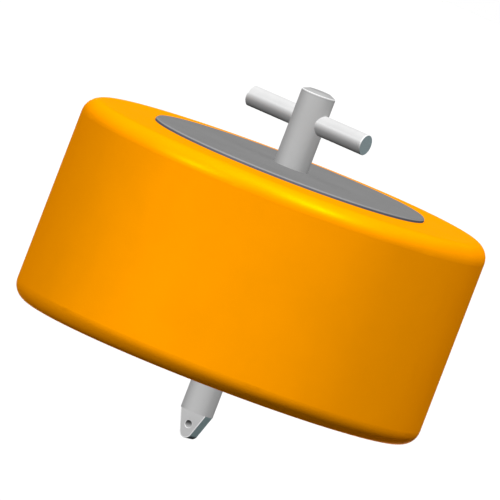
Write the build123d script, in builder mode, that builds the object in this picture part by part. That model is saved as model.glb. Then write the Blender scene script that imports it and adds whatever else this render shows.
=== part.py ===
from build123d import *
import math
import os

# Mooring buoy: a squat foam float with an elastomer skin, clamped between two round steel plates
# on a centre pipe. A through bar above the deck takes the mooring ropes, and a flattened eye
# below takes the anchor chain's shackle.
# Frame: millimetres, +Z up the centre pipe, X along the through bar, Y along the shackle pin.
# The origin is on the pipe's axis at the waterline of the buoy riding light.

os.makedirs("parts", exist_ok=True)

# Float
float_d = 2400.0
float_h = 1200.0
float_rim_r = 100.0
draught = 275.0

# Round plates over and under the float
plate_d = 1600.0
plate_t = 20.0
plate_edge = 8.0

# Centre pipe, from the bottom plate up through the float to the cap
pipe_d = 200.0
pipe_wall = 16.0
pipe_above_float = 450.0

# Chamfered cap that closes the top of the pipe
cap_h = 24.0
cap_land = 8.0
cap_run = 37.0
cap_spigot_h = 60.0
cap_spigot_lead = 4.0

# Through bar
bar_d = 120.0
bar_l = 800.0
bar_above_float = 300.0
bar_edge = 2.0

# Stub with the shackle eye, carried in the bottom of the pipe
stub_d = 190.0
stub_below_float = 245.0
stub_spigot_h = 150.0
stub_spigot_lead = 6.0
eye_t = 80.0
eye_below_stub = 155.0
eye_tip_r = 40.0
eye_edge = 2.0
pin_hole_d = 42.0
pin_hole_edge = 2.0
pin_above_tip = 80.0

# Radial clearance of each round piece in its hole
fit_gap = 0.3

# Heights above the waterline
underside_z = -draught
float_top_z = underside_z + float_h
pipe_bottom_z = underside_z - plate_t
pipe_top_z = float_top_z + pipe_above_float
cap_land_z = pipe_top_z + cap_land
cap_top_z = pipe_top_z + cap_h
bar_z = float_top_z + bar_above_float
stub_end_z = underside_z - stub_below_float
eye_tip_z = stub_end_z - eye_below_stub
eye_tip_centre_z = eye_tip_z + eye_tip_r
pin_z = eye_tip_z + pin_above_tip

# Radii shared by mating pieces
pipe_r = pipe_d / 2
pipe_bore_r = pipe_r - pipe_wall
pipe_hole_r = pipe_r + fit_gap
spigot_r = pipe_bore_r - fit_gap
stub_r = stub_d / 2
eye_root_half = math.sqrt(stub_r**2 - (eye_t / 2) ** 2)


# Float: a plain drum with rounded rims and a bore for the pipe
with BuildPart() as float_body:
    with BuildSketch(Plane.XY.offset(underside_z)):
        Circle(float_d / 2)
    extrude(amount=float_h)
    fillet(float_body.edges().filter_by(GeomType.CIRCLE), radius=float_rim_r)
    with BuildSketch(Plane.XY.offset(underside_z)):
        Circle(pipe_hole_r)
    extrude(amount=float_h, mode=Mode.SUBTRACT)
float_body.part.label = "float_body"


# Plates: the deck plate bears on the float's top, the keel plate on its underside
with BuildPart() as top_plate:
    with BuildSketch(Plane.XY.offset(float_top_z)):
        Circle(plate_d / 2)
        Circle(pipe_hole_r, mode=Mode.SUBTRACT)
    extrude(amount=plate_t)
    deck_rim = top_plate.edges().group_by(Axis.Z)[-1].sort_by(SortBy.RADIUS)[-1]
    chamfer(deck_rim, length=plate_edge)
top_plate.part.label = "top_plate"

with BuildPart() as bottom_plate:
    with BuildSketch(Plane.XY.offset(underside_z)):
        Circle(plate_d / 2)
        Circle(pipe_hole_r, mode=Mode.SUBTRACT)
    extrude(amount=-plate_t)
    keel_rim = bottom_plate.edges().group_by(Axis.Z)[0].sort_by(SortBy.RADIUS)[-1]
    chamfer(keel_rim, length=plate_edge)
bottom_plate.part.label = "bottom_plate"


# Centre pipe, cross-drilled for the through bar
with BuildPart() as centre_pipe:
    with BuildSketch(Plane.XY.offset(pipe_bottom_z)):
        Circle(pipe_r)
        Circle(pipe_bore_r, mode=Mode.SUBTRACT)
    extrude(amount=pipe_top_z - pipe_bottom_z)
    with BuildSketch(Plane.YZ):
        with Locations((0, bar_z)):
            Circle(bar_d / 2 + fit_gap)
    extrude(amount=pipe_d, both=True, mode=Mode.SUBTRACT)
centre_pipe.part.label = "centre_pipe"


# Cap: half of its section, turned about the pipe's axis
with BuildPart() as pipe_cap:
    with BuildSketch(Plane.XZ):
        with BuildLine():
            Polyline(
                (0, cap_top_z),
                (pipe_r - cap_run, cap_top_z),
                (pipe_r, cap_land_z),
                (pipe_r, pipe_top_z),
                (spigot_r, pipe_top_z),
                (spigot_r, pipe_top_z - cap_spigot_h + cap_spigot_lead),
                (spigot_r - cap_spigot_lead, pipe_top_z - cap_spigot_h),
                (0, pipe_top_z - cap_spigot_h),
                close=True,
            )
        make_face()
    revolve(axis=Axis.Z)
pipe_cap.part.label = "pipe_cap"


# Through bar with its edges just broken
with BuildPart() as through_bar:
    with BuildSketch(Plane.YZ):
        with Locations((0, bar_z)):
            Circle(bar_d / 2)
    extrude(amount=bar_l / 2, both=True)
    chamfer(through_bar.edges().filter_by(GeomType.CIRCLE), length=bar_edge)
through_bar.part.label = "through_bar"


# Shackle eye: a flat blade that tapers to a round tip with the pin hole in it, a round stub whose
# shoulder bears on the pipe's end, and a spigot up inside the pipe
with BuildPart() as shackle_eye:
    with BuildSketch(Plane.XZ):
        with BuildLine():
            CenterArc((0, eye_tip_centre_z), eye_tip_r, 0, 360)
            Line((-eye_root_half, stub_end_z), (eye_root_half, stub_end_z))
        make_hull()
    extrude(amount=eye_t / 2, both=True)
    for cheek in shackle_eye.faces().filter_by(Axis.Y):
        tapered_outline = cheek.edges().sort_by(Axis.Z)[:-1]
        chamfer(tapered_outline, length=eye_edge)
    with Locations(Plane.XZ.offset(eye_t / 2) * Location((0, pin_z, 0))):
        Hole(pin_hole_d / 2)
    hole_rims = shackle_eye.edges().filter_by(GeomType.CIRCLE).group_by(SortBy.RADIUS)[0]
    chamfer(hole_rims, length=pin_hole_edge)
    with BuildSketch(Plane.XY.offset(pipe_bottom_z)):
        Circle(stub_r)
    extrude(amount=stub_end_z - pipe_bottom_z)
    with BuildSketch(Plane.XY.offset(pipe_bottom_z)):
        Circle(spigot_r)
    extrude(amount=stub_spigot_h)
    spigot_rim = shackle_eye.edges().sort_by(Axis.Z)[-1]
    chamfer(spigot_rim, length=stub_spigot_lead)
shackle_eye.part.label = "shackle_eye"

pieces = [float_body, top_plate, bottom_plate, centre_pipe, pipe_cap, through_bar, shackle_eye]
for piece in pieces:
    export_step(piece.part, f"parts/{piece.part.label}.step")
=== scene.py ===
import math

import bmesh
import bpy
from mathutils import Matrix, Vector

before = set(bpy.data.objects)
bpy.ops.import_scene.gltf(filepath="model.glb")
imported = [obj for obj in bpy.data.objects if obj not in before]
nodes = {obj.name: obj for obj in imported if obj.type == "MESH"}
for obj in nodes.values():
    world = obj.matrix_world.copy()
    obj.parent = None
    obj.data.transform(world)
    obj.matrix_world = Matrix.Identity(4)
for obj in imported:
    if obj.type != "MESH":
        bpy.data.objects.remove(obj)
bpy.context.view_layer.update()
scene = bpy.context.scene


# Camera: no perspective, turned about the buoy's axis, a little above the deck, and rolled
VIEW_AZIMUTH = math.radians(30.0)
VIEW_ELEVATION = math.radians(4.5)
VIEW_ROLL = math.radians(21.0)
VIEW_WIDTH = 2.783
CAMERA_DISTANCE = 12.0
CAMERA_REACH = 60.0
DRUM_CENTRE_HEIGHT = 0.355
CENTRE_TO_RIGHT = -0.0464
CENTRE_TO_TOP = 0.0768


def place_camera():
    back = Vector((
        math.sin(VIEW_AZIMUTH) * math.cos(VIEW_ELEVATION),
        -math.cos(VIEW_AZIMUTH) * math.cos(VIEW_ELEVATION),
        math.sin(VIEW_ELEVATION),
    ))
    level_right = Vector((math.cos(VIEW_AZIMUTH), math.sin(VIEW_AZIMUTH), 0.0))
    level_up = back.cross(level_right)
    right = math.cos(VIEW_ROLL) * level_right + math.sin(VIEW_ROLL) * level_up
    up = back.cross(right)
    middle = Vector((0.0, 0.0, DRUM_CENTRE_HEIGHT))
    middle += CENTRE_TO_RIGHT * level_right + CENTRE_TO_TOP * level_up
    data = bpy.data.cameras.new("camera")
    data.type = "ORTHO"
    data.ortho_scale = VIEW_WIDTH
    data.clip_end = CAMERA_REACH
    camera = bpy.data.objects.new("camera", data)
    scene.collection.objects.link(camera)
    turn = Matrix((right, up, back)).transposed().to_4x4()
    camera.matrix_world = Matrix.Translation(middle + CAMERA_DISTANCE * back) @ turn
    scene.camera = camera


WHITE = (1.0, 1.0, 1.0)
ORANGE = (1.0, 0.33, 0.0)


def grey(level):
    return (level, level, level)


# Soft studio lights. Columns: name, degrees left of the camera, degrees above the horizon,
# brightness of a white surface that faces the light, degrees across, whether it throws a shadow
LIGHTS = [
    ("key", -28.0, 54.0, 0.94, 10.0, False),
    ("high_fill", -17.5, 74.0, 0.14, 10.0, False),
    ("low_fill", 52.0, 25.0, 0.64, 10.0, False),
    ("side_fill", 42.0, 62.0, 0.11, 10.0, False),
    ("back_fill", 180.0, -10.0, 0.50, 20.0, False),
    ("overhead", 0.0, 89.0, 0.16, 40.0, True),
]
SKY_STRENGTH = 0.01


def add_light(name, left, above, brightness, softness, shadow):
    data = bpy.data.lights.new(name, "SUN")
    data.energy = math.pi * brightness
    data.angle = math.radians(softness)
    data.use_shadow = shadow
    azimuth = VIEW_AZIMUTH - math.radians(left)
    height = math.radians(above)
    towards = Vector((
        math.sin(azimuth) * math.cos(height),
        -math.cos(azimuth) * math.cos(height),
        math.sin(height),
    ))
    sun = bpy.data.objects.new(name, data)
    sun.rotation_mode = "QUATERNION"
    sun.rotation_quaternion = towards.to_track_quat("Z", "Y")
    scene.collection.objects.link(sun)


def wire(tree, source, socket):
    """Link one socket to another, or set it where the source is a plain number or colour."""
    if isinstance(source, bpy.types.NodeSocket):
        tree.links.new(source, socket)
    else:
        socket.default_value = source


def maths(tree, operation, first, second=0.0):
    node = tree.nodes.new("ShaderNodeMath")
    node.operation = operation
    wire(tree, first, node.inputs[0])
    wire(tree, second, node.inputs[1])
    return node.outputs[0]


def step(tree, value, low, high, at_low=0.0, at_high=1.0):
    """A smooth step from one level to another while the value goes from low to high."""
    node = tree.nodes.new("ShaderNodeMapRange")
    node.interpolation_type = "SMOOTHSTEP"
    for index, source in enumerate((value, low, high, at_low, at_high)):
        wire(tree, source, node.inputs[index])
    return node.outputs[0]


def both(tree, first, second):
    return maths(tree, "MULTIPLY", first, second)


def without(tree, mask):
    return maths(tree, "SUBTRACT", 1.0, mask)


def weighted(tree, first, first_weight, second, second_weight):
    return maths(
        tree, "ADD", both(tree, first, first_weight), both(tree, second, second_weight)
    )


def shaded(tree, mask, darkening):
    """A brightness of one that drops by the darkening where the mask is."""
    return without(tree, both(tree, mask, darkening))


def distance(tree, first, second):
    squares = maths(tree, "ADD", both(tree, first, first), both(tree, second, second))
    return maths(tree, "SQRT", squares)


def seen_directly(tree):
    """One where a camera, mirror or glass ray meets the surface, else nought."""
    path = tree.nodes.new("ShaderNodeLightPath")
    first = maths(tree, "MAXIMUM", path.outputs["Is Camera Ray"], path.outputs["Is Glossy Ray"])
    return maths(tree, "MAXIMUM", first, path.outputs["Is Transmission Ray"])


def light_sky():
    world = bpy.data.worlds.new("studio")
    world.use_nodes = True
    tree = world.node_tree
    tree.nodes.clear()
    output = tree.nodes.new("ShaderNodeOutputWorld")
    lit = tree.nodes.new("ShaderNodeBackground")
    lit.inputs["Color"].default_value = (*WHITE, 1.0)
    lit.inputs["Strength"].default_value = SKY_STRENGTH
    white = tree.nodes.new("ShaderNodeBackground")
    white.inputs["Color"].default_value = (*WHITE, 1.0)
    white.inputs["Strength"].default_value = 1.0
    mix = tree.nodes.new("ShaderNodeMixShader")
    tree.links.new(seen_directly(tree), mix.inputs[0])
    tree.links.new(lit.outputs[0], mix.inputs[1])
    tree.links.new(white.outputs[0], mix.inputs[2])
    tree.links.new(mix.outputs[0], output.inputs["Surface"])
    scene.world = world


# Floor, below the eye. It is black to light that bounces off it, and clear from below
FLOOR_Z = -1.5
FLOOR_HALF = 40.0
FLOOR_WHITE = 0.74
FLOOR_TO_BOUNCED_LIGHT = 0.0


def lay_floor():
    mesh = bpy.data.meshes.new("floor")
    shape = bmesh.new()
    bmesh.ops.create_grid(shape, x_segments=1, y_segments=1, size=FLOOR_HALF)
    bmesh.ops.translate(shape, verts=shape.verts, vec=(0.0, 0.0, FLOOR_Z))
    shape.to_mesh(mesh)
    shape.free()
    material = bpy.data.materials.new("floor")
    material.use_nodes = True
    tree = material.node_tree
    tree.nodes.clear()
    output = tree.nodes.new("ShaderNodeOutputMaterial")
    shades = []
    for level in (FLOOR_TO_BOUNCED_LIGHT, FLOOR_WHITE):
        shade = tree.nodes.new("ShaderNodeBsdfDiffuse")
        shade.inputs["Color"].default_value = (*grey(level), 1.0)
        shades.append(shade)
    mix = tree.nodes.new("ShaderNodeMixShader")
    tree.links.new(seen_directly(tree), mix.inputs[0])
    tree.links.new(shades[0].outputs[0], mix.inputs[1])
    tree.links.new(shades[1].outputs[0], mix.inputs[2])
    side = tree.nodes.new("ShaderNodeNewGeometry")
    clear = tree.nodes.new("ShaderNodeBsdfTransparent")
    one_sided = tree.nodes.new("ShaderNodeMixShader")
    tree.links.new(side.outputs["Backfacing"], one_sided.inputs[0])
    tree.links.new(mix.outputs[0], one_sided.inputs[1])
    tree.links.new(clear.outputs[0], one_sided.inputs[2])
    tree.links.new(one_sided.outputs[0], output.inputs["Surface"])
    mesh.materials.append(material)
    floor = bpy.data.objects.new("floor", mesh)
    scene.collection.objects.link(floor)


# Node groups shared by the materials
FLOAT = "NodeSocketFloat"
VECTOR = "NodeSocketVector"
COLOUR = "NodeSocketColor"


def new_group(name, inputs, outputs):
    tree = bpy.data.node_groups.new(name, "ShaderNodeTree")
    for label, kind in inputs:
        tree.interface.new_socket(label, in_out="INPUT", socket_type=kind)
    for label, kind in outputs:
        tree.interface.new_socket(label, in_out="OUTPUT", socket_type=kind)
    given = tree.nodes.new("NodeGroupInput").outputs
    result = tree.nodes.new("NodeGroupOutput").inputs
    return tree, given, result


def use(tree, group, values):
    node = tree.nodes.new("ShaderNodeGroup")
    node.node_tree = group
    for label, source in values.items():
        wire(tree, source, node.inputs[label])
    return node.outputs


def noise(tree, coordinates, size, detail, roughness):
    node = tree.nodes.new("ShaderNodeTexNoise")
    wire(tree, coordinates, node.inputs["Vector"])
    wire(tree, maths(tree, "DIVIDE", 1.0, size), node.inputs["Scale"])
    node.inputs["Detail"].default_value = detail
    node.inputs["Roughness"].default_value = roughness
    return node.outputs["Fac"]


def make_film_group():
    """The skin of a coat: fine grain in its height, wide patches in its tone, ragged borders."""
    tree, given, result = new_group(
        "coat_film",
        [
            ("Coordinates", VECTOR), ("Grain Size", FLOAT), ("Patch Size", FLOAT),
            ("Ragged Size", FLOAT),
        ],
        [("Grain", FLOAT), ("Tone", FLOAT), ("Ragged", FLOAT)],
    )
    grain = noise(tree, given["Coordinates"], given["Grain Size"], detail=2.0, roughness=0.5)
    patches = noise(tree, given["Coordinates"], given["Patch Size"], detail=4.0, roughness=0.6)
    ragged = noise(tree, given["Coordinates"], given["Ragged Size"], detail=5.0, roughness=0.65)
    tree.links.new(grain, result["Grain"])
    tree.links.new(step(tree, patches, 0.3, 0.7), result["Tone"])
    tree.links.new(maths(tree, "SUBTRACT", ragged, 0.5), result["Ragged"])
    return tree


def make_marks_group():
    """Fine marks that a saw, lathe or grinder leaves, stretched along the way it ran."""
    tree, given, result = new_group(
        "tool_marks", [("Coordinates", VECTOR), ("Stretch", VECTOR), ("Size", FLOAT)],
        [("Marks", FLOAT)],
    )
    stretched = tree.nodes.new("ShaderNodeVectorMath")
    stretched.operation = "MULTIPLY"
    wire(tree, given["Coordinates"], stretched.inputs[0])
    wire(tree, given["Stretch"], stretched.inputs[1])
    marks = noise(tree, stretched.outputs[0], given["Size"], detail=3.0, roughness=0.7)
    tree.links.new(step(tree, marks, 0.25, 0.75), result["Marks"])
    return tree


def make_span_group():
    """One where a value lies between two others, with soft ends."""
    tree, given, result = new_group(
        "span_mask",
        [("Value", FLOAT), ("Low", FLOAT), ("High", FLOAT), ("Blur", FLOAT)],
        [("Mask", FLOAT)],
    )
    value, blur = given["Value"], given["Blur"]
    rise = step(
        tree, value,
        maths(tree, "SUBTRACT", given["Low"], blur), maths(tree, "ADD", given["Low"], blur),
    )
    fall = step(
        tree, value,
        maths(tree, "SUBTRACT", given["High"], blur), maths(tree, "ADD", given["High"], blur),
        1.0, 0.0,
    )
    tree.links.new(both(tree, rise, fall), result["Mask"])
    return tree


def blend(tree, factor, first, second):
    node = tree.nodes.new("ShaderNodeMix")
    node.data_type = "RGBA"
    colours = [socket for socket in node.inputs if socket.type == "RGBA"]
    wire(tree, factor, node.inputs["Factor"])
    wire(tree, first, colours[0])
    wire(tree, second, colours[1])
    return next(socket for socket in node.outputs if socket.type == "RGBA")


def swing(tree, level, size):
    """A level from nought to one, turned into a change about nought."""
    return both(tree, maths(tree, "SUBTRACT", level, 0.5), size)


def make_coat_group():
    """Colour of a coat with its tone patches, bare cut faces, edges lightened as painted highlight
    and wear, and painted shade.
    """
    tree, given, result = new_group(
        "coat_colour",
        [
            ("Coat", COLOUR), ("Tone", FLOAT), ("Tone Range", FLOAT), ("Bare", FLOAT),
            ("Bare Colour", COLOUR), ("Marks", FLOAT), ("Mark Range", FLOAT), ("Wear And Highlight", FLOAT),
            ("Wear And Highlight Colour", COLOUR), ("Light", FLOAT),
        ],
        [("Colour", COLOUR)],
    )
    colour = blend(tree, given["Bare"], given["Coat"], given["Bare Colour"])
    colour = blend(tree, given["Wear And Highlight"], colour, given["Wear And Highlight Colour"])
    patches = swing(tree, given["Tone"], given["Tone Range"])
    marks = both(tree, swing(tree, given["Marks"], given["Mark Range"]), given["Bare"])
    change = maths(tree, "ADD", patches, marks)
    light = both(tree, maths(tree, "ADD", change, 1.0), given["Light"])
    scale = tree.nodes.new("ShaderNodeVectorMath")
    scale.operation = "SCALE"
    wire(tree, colour, scale.inputs[0])
    wire(tree, light, scale.inputs["Scale"])
    tree.links.new(scale.outputs[0], result["Colour"])
    return tree


film_group = make_film_group()
marks_group = make_marks_group()
span_group = make_span_group()
coat_group = make_coat_group()


def span(tree, value, low, high, blur):
    return use(tree, span_group, {"Value": value, "Low": low, "High": high, "Blur": blur})["Mask"]


class Places:
    """Where a point is on the buoy, in metres, and which way its surface faces."""

    def __init__(self, tree):
        source = tree.nodes.new("ShaderNodeTexCoord")
        self.point = source.outputs["Object"]
        place = tree.nodes.new("ShaderNodeSeparateXYZ")
        tree.links.new(self.point, place.inputs[0])
        self.x, self.y, self.z = place.outputs
        facing = tree.nodes.new("ShaderNodeSeparateXYZ")
        tree.links.new(source.outputs["Normal"], facing.inputs[0])
        self.nx, self.ny, self.nz = facing.outputs


# Sizes of the shapes that the masks follow, in metres
PLATE_RADIUS = 0.8
CAP_FOOT = 1.375
CAP_EDGE = 1.383
BAR_HALF = 0.4
STUB_RADIUS = 0.095
STUB_END = -0.520
EYE_HALF_THICK = 0.04
EYE_TIP_Z = -0.635
EYE_TIP_RADIUS = 0.04
PIN_Z = -0.595
PIN_RADIUS = 0.021


# Each of these gives the bare cut faces, the edges lightened as painted highlight and wear, and a
# brightness of the whole that carries painted shade
def skin_places(tree, at, ragged):
    """No bare faces. Painted shade: a dark band along the plate's seam, and a flat top darker than
    the sides.
    """
    seam_inside, seam_outside, seam_blur, seam_painted_shade = 0.01, 0.006, 0.002, 0.2
    top_painted_shade = 0.08
    reach = distance(tree, at.x, at.y)
    seam = span(
        tree, reach, PLATE_RADIUS - seam_inside, PLATE_RADIUS + seam_outside, seam_blur
    )
    top = step(tree, at.nz, 0.9, 1.0)
    light = both(tree, shaded(tree, top, top_painted_shade), shaded(tree, seam, seam_painted_shade))
    return 0.0, 0.0, light


def plate_places(tree, at, ragged):
    """A bare wall, and a chamfer lightened as painted highlight and wear, most at its outer edge.
    """
    ragged_width, wear_and_highlight_from, wear_and_highlight_to, chamfer_wear_and_highlight = 0.01, 0.008, 0.005, 0.45
    tilt = maths(tree, "ABSOLUTE", at.nz)
    wall = step(tree, tilt, 0.3, 0.4, 1.0, 0.0)
    chamfer = span(tree, tilt, 0.35, 0.95, 0.02)
    reach = weighted(tree, distance(tree, at.x, at.y), 1.0, ragged, ragged_width)
    outer = step(tree, reach, PLATE_RADIUS - wear_and_highlight_from, PLATE_RADIUS - wear_and_highlight_to)
    # The lighter chamfer is painted highlight and wear
    wear_and_highlight = weighted(
        tree, chamfer, chamfer_wear_and_highlight, both(tree, outer, chamfer), 1.0 - chamfer_wear_and_highlight
    )
    return wall, wear_and_highlight, 1.0


def post_places(tree, at, ragged):
    """The cap's upward-facing cone and top in a darker colour with tool marks, its edge lightened
    as painted highlight and wear, and painted shade on the top and in the joint between cap and
    pipe.
    """
    ragged_width, wear_and_highlight_below, wear_and_highlight_above, wear_and_highlight_blur = 0.0012, 0.0045, 0.002, 0.0012
    joint_height, joint_painted_shade, top_painted_shade = 0.004, 0.12, 0.13
    blur = 0.0002
    cap = step(tree, at.z, CAP_FOOT - blur, CAP_FOOT + blur)
    cone = both(tree, cap, step(tree, at.nz, 0.5, 0.6))
    height = weighted(tree, at.z, 1.0, ragged, ragged_width)
    wear_and_highlight = span(tree, height, CAP_EDGE - wear_and_highlight_below, CAP_EDGE + wear_and_highlight_above, wear_and_highlight_blur)
    top = both(tree, cap, step(tree, at.nz, 0.96, 0.98))
    joint = span(tree, at.z, CAP_FOOT - joint_height, CAP_FOOT, blur)
    # Painted shade in the joint below the cap and on the cap's top
    light = both(tree, shaded(tree, joint, joint_painted_shade), shaded(tree, top, top_painted_shade))
    return cone, wear_and_highlight, light


def bar_places(tree, at, ragged):
    """Sawn ends, and a lighter rim round each end but for its underside: painted highlight and
    wear.
    """
    ragged_width, wear_and_highlight_from, wear_and_highlight_to = 0.006, 0.009, 0.006
    end = step(tree, maths(tree, "ABSOLUTE", at.nx), 0.95, 0.97)
    out = weighted(tree, maths(tree, "ABSOLUTE", at.x), 1.0, ragged, ragged_width)
    rim = step(tree, out, BAR_HALF - wear_and_highlight_from, BAR_HALF - wear_and_highlight_to)
    rim = both(tree, rim, without(tree, end))
    # The rim is lit only where it faces up: painted highlight as well as wear
    return end, both(tree, rim, step(tree, at.nz, -0.7, 0.2)), 1.0


def eye_reach(tree, at):
    """How far out a point of the blade lies, where its outline is the tip's radius."""
    out = maths(tree, "ABSOLUTE", at.x)
    up = maths(tree, "SUBTRACT", at.z, EYE_TIP_Z)
    root_half = math.sqrt(STUB_RADIUS**2 - EYE_HALF_THICK**2)
    root_up = STUB_END - EYE_TIP_Z
    turn = math.atan2(root_up, root_half)
    turn -= math.acos(EYE_TIP_RADIUS / math.hypot(root_half, root_up))
    along = weighted(tree, out, -math.sin(turn), up, math.cos(turn))
    on_taper = step(tree, along, -0.001, 0.001)
    taper = weighted(tree, out, math.cos(turn), up, math.sin(turn))
    tip = distance(tree, out, up)
    return maths(
        tree, "ADD", both(tree, taper, on_taper), both(tree, tip, without(tree, on_taper))
    )


def eye_places(tree, at, ragged):
    """The blade's bare sides; its borders and hole rim lightened as painted highlight and wear;
    painted shade in the hole and under the blade.
    """
    ragged_width, border_from, border_to = 0.004, 0.0065, 0.0035
    ring_ragged_width, ring_from, ring_to, ring_wear_and_highlight = 0.004, 0.0025, 0.0045, 0.45
    blade = step(tree, at.z, STUB_END - 0.001, STUB_END - 0.0005, 1.0, 0.0)
    cheek = step(tree, maths(tree, "ABSOLUTE", at.ny), 0.35, 0.4)
    side = both(tree, blade, without(tree, cheek))
    reach = weighted(tree, eye_reach(tree, at), 1.0, ragged, ragged_width)
    border = step(tree, reach, EYE_TIP_RADIUS - border_from, EYE_TIP_RADIUS - border_to)
    from_pin = distance(tree, at.x, maths(tree, "SUBTRACT", at.z, PIN_Z))
    ring = step(
        tree, weighted(tree, from_pin, 1.0, ragged, ring_ragged_width),
        PIN_RADIUS + ring_from, PIN_RADIUS + ring_to, ring_wear_and_highlight, 0.0,
    )
    wear_and_highlight = both(tree, both(tree, blade, cheek), maths(tree, "MAXIMUM", border, ring))
    near_pin = step(tree, from_pin, PIN_RADIUS + 0.0002, PIN_RADIUS + 0.0006, 1.0, 0.0)
    hole = both(tree, side, near_pin)
    bare = both(tree, side, without(tree, hole))
    # Painted shade under the blade's bare sides and inside the pin hole, darker where they face
    # down
    under = both(tree, bare, step(tree, at.nz, -0.8, -0.38, 0.75, 0.0))
    inside = both(tree, hole, step(tree, at.nz, -0.6, 0.9, 0.72, 0.25))
    return bare, wear_and_highlight, both(tree, without(tree, under), without(tree, inside))


# Sizes of the patterns on the coats, in metres
PATCH_SIZE = 0.3
RAGGED_SIZE = 0.012
MARK_SIZE = 0.0015
MARK_DEPTH = 0.00004
MARK_RANGE = 0.16
SHEEN_SWING = 0.03


def coat(
    name, places, paint, bare, wear_and_highlight, tone_range, roughness, metallic, edge_tint,
    grain_size, grain_height, mark_stretch=(1.0, 1.0, 1.0),
):
    """A sprayed or brushed coat, with bare cut faces, edges lightened as painted highlight and
    wear, and painted shade, where the places say.
    """
    material = bpy.data.materials.new(name)
    material.use_nodes = True
    tree = material.node_tree
    shader = tree.nodes["Principled BSDF"]
    at = Places(tree)
    film = use(tree, film_group, {
        "Coordinates": at.point, "Grain Size": grain_size, "Patch Size": PATCH_SIZE,
        "Ragged Size": RAGGED_SIZE,
    })
    marks = use(tree, marks_group, {
        "Coordinates": at.point, "Stretch": mark_stretch, "Size": MARK_SIZE,
    })["Marks"]
    bare_mask, wear_and_highlight_mask, light = places(tree, at, film["Ragged"])
    colour = use(tree, coat_group, {
        "Coat": (*paint, 1.0), "Tone": film["Tone"], "Tone Range": tone_range,
        "Bare": bare_mask, "Bare Colour": (*bare, 1.0), "Marks": marks, "Mark Range": MARK_RANGE,
        "Wear And Highlight": wear_and_highlight_mask, "Wear And Highlight Colour": (*wear_and_highlight, 1.0), "Light": light,
    })["Colour"]
    tree.links.new(colour, shader.inputs["Base Color"])
    unevenness = maths(tree, "ADD", film["Tone"], film["Grain"])
    rough = step(tree, unevenness, 0.3, 1.7, roughness - SHEEN_SWING, roughness + SHEEN_SWING)
    tree.links.new(rough, shader.inputs["Roughness"])
    shader.inputs["Metallic"].default_value = metallic
    shader.inputs["Specular IOR Level"].default_value = 0.0
    shader.inputs["Specular Tint"].default_value = (*edge_tint, 1.0)
    coated = both(tree, both(tree, film["Grain"], grain_height), without(tree, bare_mask))
    scored = both(tree, both(tree, marks, MARK_DEPTH), bare_mask)
    bump = tree.nodes.new("ShaderNodeBump")
    bump.inputs["Strength"].default_value = 1.0
    bump.inputs["Distance"].default_value = 1.0
    tree.links.new(maths(tree, "ADD", coated, scored), bump.inputs["Height"])
    tree.links.new(bump.outputs["Normal"], shader.inputs["Normal"])
    return material


place_camera()
for light in LIGHTS:
    add_light(*light)
light_sky()
lay_floor()

# In these coats the worn colour lights the edges: painted highlight and wear
orange_skin = coat(
    "orange_skin", skin_places, paint=ORANGE, bare=ORANGE, wear_and_highlight=ORANGE,
    tone_range=0.03, roughness=0.43, metallic=0.15, edge_tint=(1.0, 0.5, 0.0),
    grain_size=0.007, grain_height=0.0006,
)
deck_paint = coat(
    "deck_paint", plate_places, paint=grey(0.18), bare=(0.163, 0.163, 0.183),
    wear_and_highlight=(0.24, 0.24, 0.245), tone_range=0.05, roughness=0.6, metallic=0.0, edge_tint=WHITE,
    grain_size=0.005, grain_height=0.0006, mark_stretch=(0.05, 0.05, 1.0),
)
post_paint = coat(
    "post_paint", post_places, paint=grey(0.475), bare=grey(0.335), wear_and_highlight=grey(0.8),
    tone_range=0.05, roughness=0.42, metallic=0.08, edge_tint=WHITE,
    grain_size=0.004, grain_height=0.0002, mark_stretch=(1.0, 1.0, 0.3),
)
bar_paint = coat(
    "bar_paint", bar_places, paint=grey(0.52), bare=(0.315, 0.395, 0.415), wear_and_highlight=grey(0.72),
    tone_range=0.05, roughness=0.42, metallic=0.08, edge_tint=WHITE,
    grain_size=0.004, grain_height=0.0002, mark_stretch=(1.0, 0.06, 1.0),
)
eye_paint = coat(
    "eye_paint", eye_places, paint=grey(0.5), bare=(0.47, 0.62, 0.64), wear_and_highlight=grey(0.9),
    tone_range=0.05, roughness=0.42, metallic=0.08, edge_tint=WHITE,
    grain_size=0.004, grain_height=0.0002, mark_stretch=(1.0, 0.06, 1.0),
)
for node, finish in (
    ("float_body", orange_skin),
    ("top_plate", deck_paint),
    ("bottom_plate", deck_paint),
    ("centre_pipe", post_paint),
    ("pipe_cap", post_paint),
    ("through_bar", bar_paint),
    ("shackle_eye", eye_paint),
):
    nodes[node].data.materials[0] = finish

# The float and the deck bounce no light on to the pieces above and below them
nodes["float_body"].visible_diffuse = False
nodes["top_plate"].visible_diffuse = False

scene.view_settings.view_transform = "Standard"
